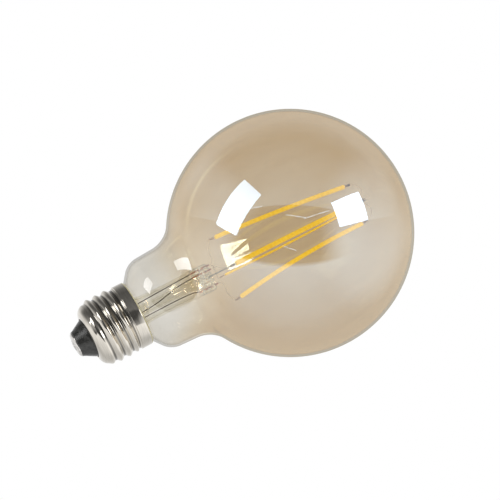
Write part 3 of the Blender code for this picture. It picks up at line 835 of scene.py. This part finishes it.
def make_cement():
    """The bead of cement between the cap's rim and the glass, squeezed out unevenly."""

    def uneven(radius, depth, angle):
        lump = noise.noise(Vector((math.cos(angle), math.sin(angle), 0.0)) * 9.0)
        return radius + 0.12 * lump * (depth > CAP_HEIGHT)

    inside = THROAT_RADIUS + 0.3
    rim = CAP_HEIGHT + 0.05
    profile = [(inside, rim - 2.8), (inside + 0.45, rim - 2.8), (inside + 0.45, rim - 0.3)]
    profile += arc((inside + 0.55, rim - 0.05), 0.42, 0, 90, 8) + [(inside + 0.1, rim + 0.2)]
    verts, faces = revolve(profile, CAP_STEPS, uneven)
    made = mesh_piece("cement_bead", verts, faces, "cement_resin", "cap_cement")
    tree, surface = plain_material("cement_cured", (0.42, 0.38, 0.22), (0.60, 0.56, 0.36), 0.6)
    finish_material(tree, surface, made)


def make_insulator():
    """The black glass base: a cone between two flat rims, with a skirt inside the shell."""
    outer = [(4.85, 1.0), (5.05, 1.3), (5.15, 1.7), (7.35, 5.55), (7.5, 5.95), (7.5, 6.9), (7.6, 7.1)]
    outer += [(9.3, 7.25), (9.7, 7.5), (10.4, 8.2), (10.9, 9.2), (11.0, 10.4)]
    inner = [(9.6, 10.4), (9.2, 9.2), (8.0, 8.3), (5.8, 7.6), (5.2, 6.0), (3.0, 3.6), (1.3, 3.0)]
    profile = outer + inner + [(1.3, 1.3), (4.2, 1.25)]
    verts, faces = revolve(profile, INSULATOR_STEPS)
    made = mesh_piece("insulator_body", verts, faces, "black_insulator", "insulator")
    black = (0.012, 0.012, 0.011)
    grey = (0.045, 0.045, 0.042)
    tree, surface = plain_material("vitrite_black", black, grey, 0.16, 700.0, 0.09)
    finish_material(tree, surface, made)


def make_contact():
    """The contact disc with a rolled rim, and the lump of solder on its middle."""
    outer = [(0.0, 0.0), (2.2, 0.0), (2.6, 0.06), (3.4, 0.12), (3.9, 0.2), (4.35, 0.4), (4.65, 0.7)]
    rim = [(CONTACT_RADIUS, 1.0), (4.6, 1.15), (4.3, 1.1)]
    rivet = [(3.7, 0.75), (2.0, 0.6), (0.9, 0.7), (0.9, 1.9), (0.0, 1.9)]
    verts, faces = revolve(outer + rim + rivet, CONTACT_STEPS, closed=False)
    made = mesh_piece("contact_disc", verts, faces, "contact_metal", "centre_contact")
    dull = (0.60, 0.58, 0.55)
    bright = (0.84, 0.82, 0.79)
    tree, surface = metal_material("contact_tinned", dull, bright, 0.22, 1500.0, 0.04)
    finish_material(tree, surface, made)

    def lumpy(radius, depth, angle):
        lump = noise.noise(Vector((radius * math.cos(angle), radius * math.sin(angle), depth)) * 0.9)
        return radius * (1 + 0.16 * lump)

    dome = []
    for step in range(13):
        turn = math.pi / 24 * step
        dome.append((2.3 * math.sin(turn), 0.12 - 0.42 * math.cos(turn)))
    underside = [(2.0, 0.2), (0.0, 0.2)]
    verts, faces = revolve(dome + underside, SOLDER_STEPS, lumpy, closed=False)
    made = mesh_piece("contact_solder", verts, faces, "contact_metal")
    pit = (0.30, 0.29, 0.28)
    bright = (0.90, 0.88, 0.85)
    tree, surface = metal_material("solder_speckled", pit, bright, 0.3, 2200.0, 0.12)
    finish_material(tree, surface, made)


def leaned(verts):
    """Tips points with the glass mount about the pivot in its flare."""
    pivot = point(0, 0, MOUNT_PIVOT)
    turn = Matrix.Rotation(MOUNT_LEAN, 4, "Y")
    return [turn @ (vert - pivot) + pivot for vert in verts]


def smoothstep(value, low, high):
    share = min(1.0, max(0.0, (value - low) / (high - low)))
    return share * share * (3 - 2 * share)


def stem_section(radius, depth, angle):
    """The mount glass's radius at an azimuth: round in the tube, and flattened between the
    press jaws to a rounded bar with the jaws' ripples."""
    waist = 2.6
    flat = smoothstep(depth, JAW_START, PRESS_START)
    squeezed = smoothstep(depth, PRESS_START - 1.5, PRESS_START + 1.5)
    half_depth = TUBE_RADIUS + flat * (waist - TUBE_RADIUS) + squeezed * (PRESS_HALF_DEPTH - waist)
    half_width = TUBE_RADIUS + flat * (PRESS_HALF_WIDTH - TUBE_RADIUS)
    power = 2.0 + 1.6 * flat
    across = abs(math.cos(angle) / half_width) ** power
    through = abs(math.sin(angle) / half_depth) ** power
    section = (across + through) ** (-1 / power) / TUBE_RADIUS
    ripple = noise.noise(Vector((math.cos(angle) * 4.5, math.sin(angle) * 2.0, depth)) * 0.8)
    return radius * section * (1 + 0.035 * ripple * flat)


def stem_profile():
    """The mount glass's cavity and outer side: a flare that decays to the tube, and the press's
    rounded end."""
    outer = []
    for step in range(60):
        depth = FLARE_TOP + step * 0.6
        flare = math.exp((FLARE_TOP - depth) / FLARE_DECAY)
        outer.append((TUBE_RADIUS + (FLARE_RADIUS - TUBE_RADIUS) * flare, depth))
    rounding = PRESS_END - outer[-1][1] - 0.3
    for step in range(1, 9):
        turn = math.pi / 2 * step / 8
        radius = TUBE_RADIUS * (0.72 + 0.28 * math.cos(turn))
        outer.append((radius, PRESS_END - rounding * (1 - math.sin(turn))))
    cavity = [(radius - TUBE_WALL, depth) for radius, depth in outer if depth < PRESS_START - 2.0]
    for share in (0.85, 0.6, 0.3):
        cavity.append((cavity[-1][0] * share, cavity[-1][1] + 0.3))
    return [(0.0, cavity[-1][1] + 0.1)] + cavity[::-1] + outer + [(0.0, PRESS_END)]


def make_stem():
    """Flare, tube and press as one run of glass, with a material for the tube and the press."""
    verts, faces = revolve(stem_profile(), STEM_STEPS, stem_section)
    made = mesh_piece("stem_glass", leaned(verts), faces, "clear_glass", "stem_tube", "stem_press")
    for tree, surface in (thin_glass_material(), press_glass_material()):
        made.data.materials.append(finish_material(tree, surface))
    for face in made.data.polygons:
        face.material_index = int(-face.center.z / MM > PRESS_START - 0.5)
    return made


def make_exhaust_tube(stem):
    """The tube inside the stem, drawn to a sealed tip and flared a little at the press."""
    radius = EXHAUST_RADIUS
    bore = radius - EXHAUST_WALL
    tip = EXHAUST_TIP
    end = EXHAUST_END
    outer = [(0.0, tip), (0.5, tip + 0.15), (1.0, tip + 0.7), (1.5, tip + 1.8), (1.85, tip + 2.8)]
    outer += [(radius, tip + 3.8), (radius, end - 1.4), (radius + 0.2, end - 0.5), (radius + 0.5, end)]
    inner = [(bore + 0.3, end), (bore, end - 0.8), (bore, tip + 4.0), (0.7, tip + 2.4), (0.0, tip + 1.6)]
    verts, faces = revolve(outer + inner, EXHAUST_STEPS, closed=False)
    made = mesh_piece("exhaust_glass", leaned(verts), faces, "clear_glass", "exhaust_tube")
    made.data.materials.append(stem.data.materials[0])
    return made


def seed_material():
    """A bubble in glass: it throws light back, so that it looks white, with a painted dark ring at its
    rim.
    """
    tree = new_material("glass_seed")
    # Painted shade: the bubble lets less light through towards its rim, a dark ring.
    ring = ramp(tree, facing_away(tree), [(0.45, 0.98), (0.85, 0.5)])
    clear = add(tree, "ShaderNodeBsdfTransparent", {"Color": ring}).outputs[0]
    spark = add(tree, "ShaderNodeBsdfDiffuse", {"Color": (0.95, 0.95, 0.93, 1.0)}).outputs[0]
    amount = map_range(tree, rough_noise(tree, 900.0), 0.3, 0.7, 0.3, 0.95)
    return tree, covered(tree, amount, clear, spark)


def make_seeds():
    """The strings of bubbles that the press jaws trap round the seal wires and in the bar."""
    dice = random.Random(11)
    solid = bmesh.new()
    for _ in range(SEEDS):
        across = dice.uniform(-0.86, 0.86) * PRESS_HALF_WIDTH
        through = dice.uniform(-0.6, 0.6) * PRESS_HALF_DEPTH
        depth = dice.uniform(PRESS_START + 0.5, PRESS_END - 0.9)
        size = dice.uniform(0.12, 0.4) * MM
        stretch = Matrix.Diagonal((1.0, 0.8, dice.uniform(1.0, 2.2), 1.0))
        matrix = Matrix.Translation(leaned([point(across, through, depth)])[0]) @ stretch
        bmesh.ops.create_icosphere(solid, subdivisions=2, radius=size, matrix=matrix)
    mesh = bpy.data.meshes.new("press_seeds")
    solid.to_mesh(mesh)
    solid.free()
    mesh.shade_smooth()
    made = bpy.data.objects.new("press_seeds", mesh)
    bpy.context.scene.collection.objects.link(made)
    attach(made, "root")
    tree, surface = seed_material()
    finish_material(tree, surface, made)
    return made


def strip_frame(number):
    """A strip's own axes and length: Z runs from its foot to its top, X is its flat side."""
    turn = math.radians(STRIP_AZIMUTHS[number])
    radius, depth = STRIP_FEET[number]
    foot = point(radius * math.cos(turn), radius * math.sin(turn), depth)
    top = point(TOP_RADIUS * math.cos(turn), TOP_RADIUS * math.sin(turn), TOP_DEPTH)
    along = (top - foot).normalized()
    across = Vector((-math.sin(turn), math.cos(turn), 0.0))
    axes = Matrix((across, across.cross(along), along)).transposed().to_4x4()
    twist = Matrix.Rotation(math.radians(STRIP_TWISTS[number]), 4, "Z")
    return Matrix.Translation((foot + top) / 2) @ axes @ twist, (top - foot).length / MM


def strip_ring(number, height, length):
    """Points round a strip's crowned section, in its own axes. The ends are drawn in."""
    end = max(0.0, abs(height) - length / 2 + STRIP_END) / STRIP_END
    narrow = math.sqrt(max(0.05, 1 - 0.75 * end * end))
    swell = 1 + 0.05 * math.cos(2 * math.pi * height / CHIP_PITCH)
    ring = []
    for step in range(STRIP_STEPS):
        turn = 2 * math.pi * step / STRIP_STEPS
        x = math.cos(turn)
        y = math.sin(turn)
        size = (abs(x) ** STRIP_CROWN + abs(y) ** STRIP_CROWN) ** (-1 / STRIP_CROWN) * narrow
        grain = 1 + 0.02 * noise.noise(Vector((x, y, height * 1.3 + number * 50.0)))
        across = x * size * grain * STRIP_WIDTH / 2
        through = y * size * grain * swell * STRIP_THICKNESS / 2
        ring.append(Vector((across, through, height)))
    return ring


def make_strip(number):
    """A silicone bar, crowned and bowed, with a faint swelling over each chip."""
    place, length = strip_frame(number)
    sideways = place.to_3x3().inverted() @ Vector((1.0, 0.0, 0.0))
    verts = []
    for row in range(STRIP_ROWS + 1):
        height = (row / STRIP_ROWS - 0.5) * length
        bow = sideways * STRIP_BOWS[number] * (1 - 4 * (height / length) ** 2)
        verts += [place @ ((corner + bow) * MM) for corner in strip_ring(number, height, length)]
    faces = []
    for row in range(STRIP_ROWS):
        for step in range(STRIP_STEPS):
            here = row * STRIP_STEPS + step
            after = row * STRIP_STEPS + (step + 1) % STRIP_STEPS
            faces.append([here, after, after + STRIP_STEPS, here + STRIP_STEPS])
    faces.append(list(range(STRIP_STEPS))[::-1])
    faces.append(list(range(len(verts) - STRIP_STEPS, len(verts))))
    name = f"light_strip_{number + 1}"
    return mesh_piece(name, leaned(verts), faces, "phosphor", f"filament_{number + 1}")


def make_strips():
    """The four strips, which share one material."""
    tree, surface = phosphor_material()
    material = finish_material(tree, surface)
    for number in range(len(STRIP_AZIMUTHS)):
        make_strip(number).data.materials.append(material)


def draw_in(node, millimetres):
    """Draws a CAD node's faces inwards, so that it looks thinner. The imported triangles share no
    corners, so each keeps its size, and neighbours cross or part at their edges."""
    made = node.modifiers.new("Thinner", "DISPLACE")
    made.strength = -millimetres * MM
    made.mid_level = 0.0


def numbered(*stems):
    """The names of four pieces for each stem."""
    return [f"{stem}_{number}" for stem in stems for number in (1, 2, 3, 4)]


def node_finishes():
    """A material for each kind of CAD node that stays."""
    return {
        "tab": plain_material("tab_welded", (0.50, 0.36, 0.24), (0.95, 0.84, 0.66), 0.4, 1500.0),
        "wire": plain_material("lead_wire", (0.82, 0.74, 0.60), (0.97, 0.91, 0.80), 0.3),
        "support_wire": metal_material("support_steel", (0.6, 0.58, 0.55), (0.8, 0.78, 0.75), 0.15),
        "lead_outer": metal_material("lead_copper_oxide", (0.05, 0.027, 0.015), (0.14, 0.08, 0.045), 0.4),
        "seal": metal_material("seal_copper_glow", (0.60, 0.25, 0.15), (0.80, 0.40, 0.28), 0.35),
        "hub": metal_material("hub_crimp", (0.35, 0.32, 0.28), (0.65, 0.62, 0.57), 0.35),
        "board": plain_material("laminate_green", (0.02, 0.16, 0.07), (0.04, 0.28, 0.12), 0.45, 500.0),
        "module": plain_material("laminate_blue", (0.02, 0.05, 0.16), (0.03, 0.08, 0.24), 0.45, 500.0),
        "chip": plain_material("chip_epoxy", (0.015, 0.015, 0.015), (0.035, 0.035, 0.035), 0.5),
        "can": plain_material("can_sleeve", (0.04, 0.05, 0.09), (0.07, 0.08, 0.13), 0.35),
        "steel": metal_material("shield_steel", (0.55, 0.55, 0.56), (0.70, 0.70, 0.71), 0.3),
        "ferrite": plain_material("ferrite_core", (0.07, 0.065, 0.065), (0.13, 0.12, 0.12), 0.7),
        "resistor": plain_material("resistor_lacquer", (0.22, 0.36, 0.46), (0.34, 0.50, 0.60), 0.4),
        "film": plain_material("sleeve_polyimide", (0.72, 0.62, 0.36), (0.86, 0.78, 0.55), 0.4),
    }


def dress_nodes():
    """Materials for the CAD nodes that stay. Wires, tabs and the hub are also drawn in."""
    wearing = {
        "tab": numbered("foot_tab", "top_tab"),
        "wire": ["inner_lead_a", "inner_lead_b", "inner_lead_c", "jumper_wire", *numbered("top_wire")]
        + ["centre_feed", "board_feed", "shell_feed"],
        "support_wire": ["support_wire"],
        "lead_outer": ["outer_lead_a", "outer_lead_b", "outer_lead_c"],
        "seal": ["seal_wire_a", "seal_wire_b", "seal_wire_c"],
        "hub": ["top_hub"],
        "board": ["driver_board"],
        "module": ["wireless_module"],
        "chip": ["driver_chip_1", "driver_chip_2", "bridge_rectifier"],
        "can": ["smoothing_capacitor"],
        "steel": ["module_shield"],
        "ferrite": ["power_inductor"],
        "resistor": ["fusible_resistor"],
        "film": ["board_sleeve"],
    }
    nodes = frame["nodes"]
    for key, (tree, surface) in node_finishes().items():
        finish_material(tree, surface, *(nodes[name] for name in wearing[key]))
    for key, millimetres in (("wire", 0.1), ("lead_outer", 0.1), ("tab", 0.2), ("hub", 0.3)):
        for name in wearing[key]:
            draw_in(nodes[name], millimetres)
    for name in numbered("top_wire"):
        draw_in(nodes[name], 0.05)
    draw_in(nodes["support_wire"], 0.22)


def make_lamps(glass):
    """The softboxes, for the glass and for the rest, and the lamps that only glass mirrors."""
    globe = glass[:1]
    mount = glass[1:]
    box = make_softbox("softbox_left_glass", *LEFT_BOX, LEFT_SIZE, LEFT_RADIANCE, LEFT_FAR_WALL)
    lights(box, globe, "INCLUDE")
    box = make_softbox("softbox_left", *LEFT_BOX, LEFT_SIZE_ON_METAL, LEFT_RADIANCE_ON_METAL)
    lights(box, glass, "EXCLUDE")
    box = make_softbox("softbox_right_glass", *RIGHT_BOX, RIGHT_SIZE, RIGHT_RADIANCE, RIGHT_FAR_WALL)
    lights(box, globe, "INCLUDE")
    box = make_softbox("softbox_right", *RIGHT_BOX, RIGHT_SIZE_ON_METAL, RIGHT_RADIANCE_ON_METAL)
    lights(box, glass, "EXCLUDE")
    lights(make_ceiling(), glass, "INCLUDE")
    lights(make_left_wall(), globe, "INCLUDE")
    box = make_softbox("spark_left", *LEFT_BOX, LEFT_SPARK_SIZE, SPARK_RADIANCE)
    lights(box, mount, "INCLUDE")
    box = make_softbox("spark_right", *RIGHT_BOX, RIGHT_SPARK_SIZE, SPARK_RADIANCE)
    lights(box, mount, "INCLUDE")
    for number, rod in enumerate(RODS):
        lights(make_rod(f"rod_{number}", *rod), globe, "INCLUDE")


def set_render_limits():
    scene = bpy.context.scene
    scene.view_settings.view_transform = "Standard"
    scene.cycles.max_bounces = 16
    scene.cycles.transparent_max_bounces = 32
    scene.cycles.transmission_bounces = 14


make_camera()
make_world()
make_floor()
globe = make_globe()
make_shell()
make_cement()
make_insulator()
make_contact()
stem = make_stem()
glass = [globe, stem, make_exhaust_tube(stem), make_seeds()]
make_strips()
dress_nodes()
make_lamps(glass)
set_render_limits()
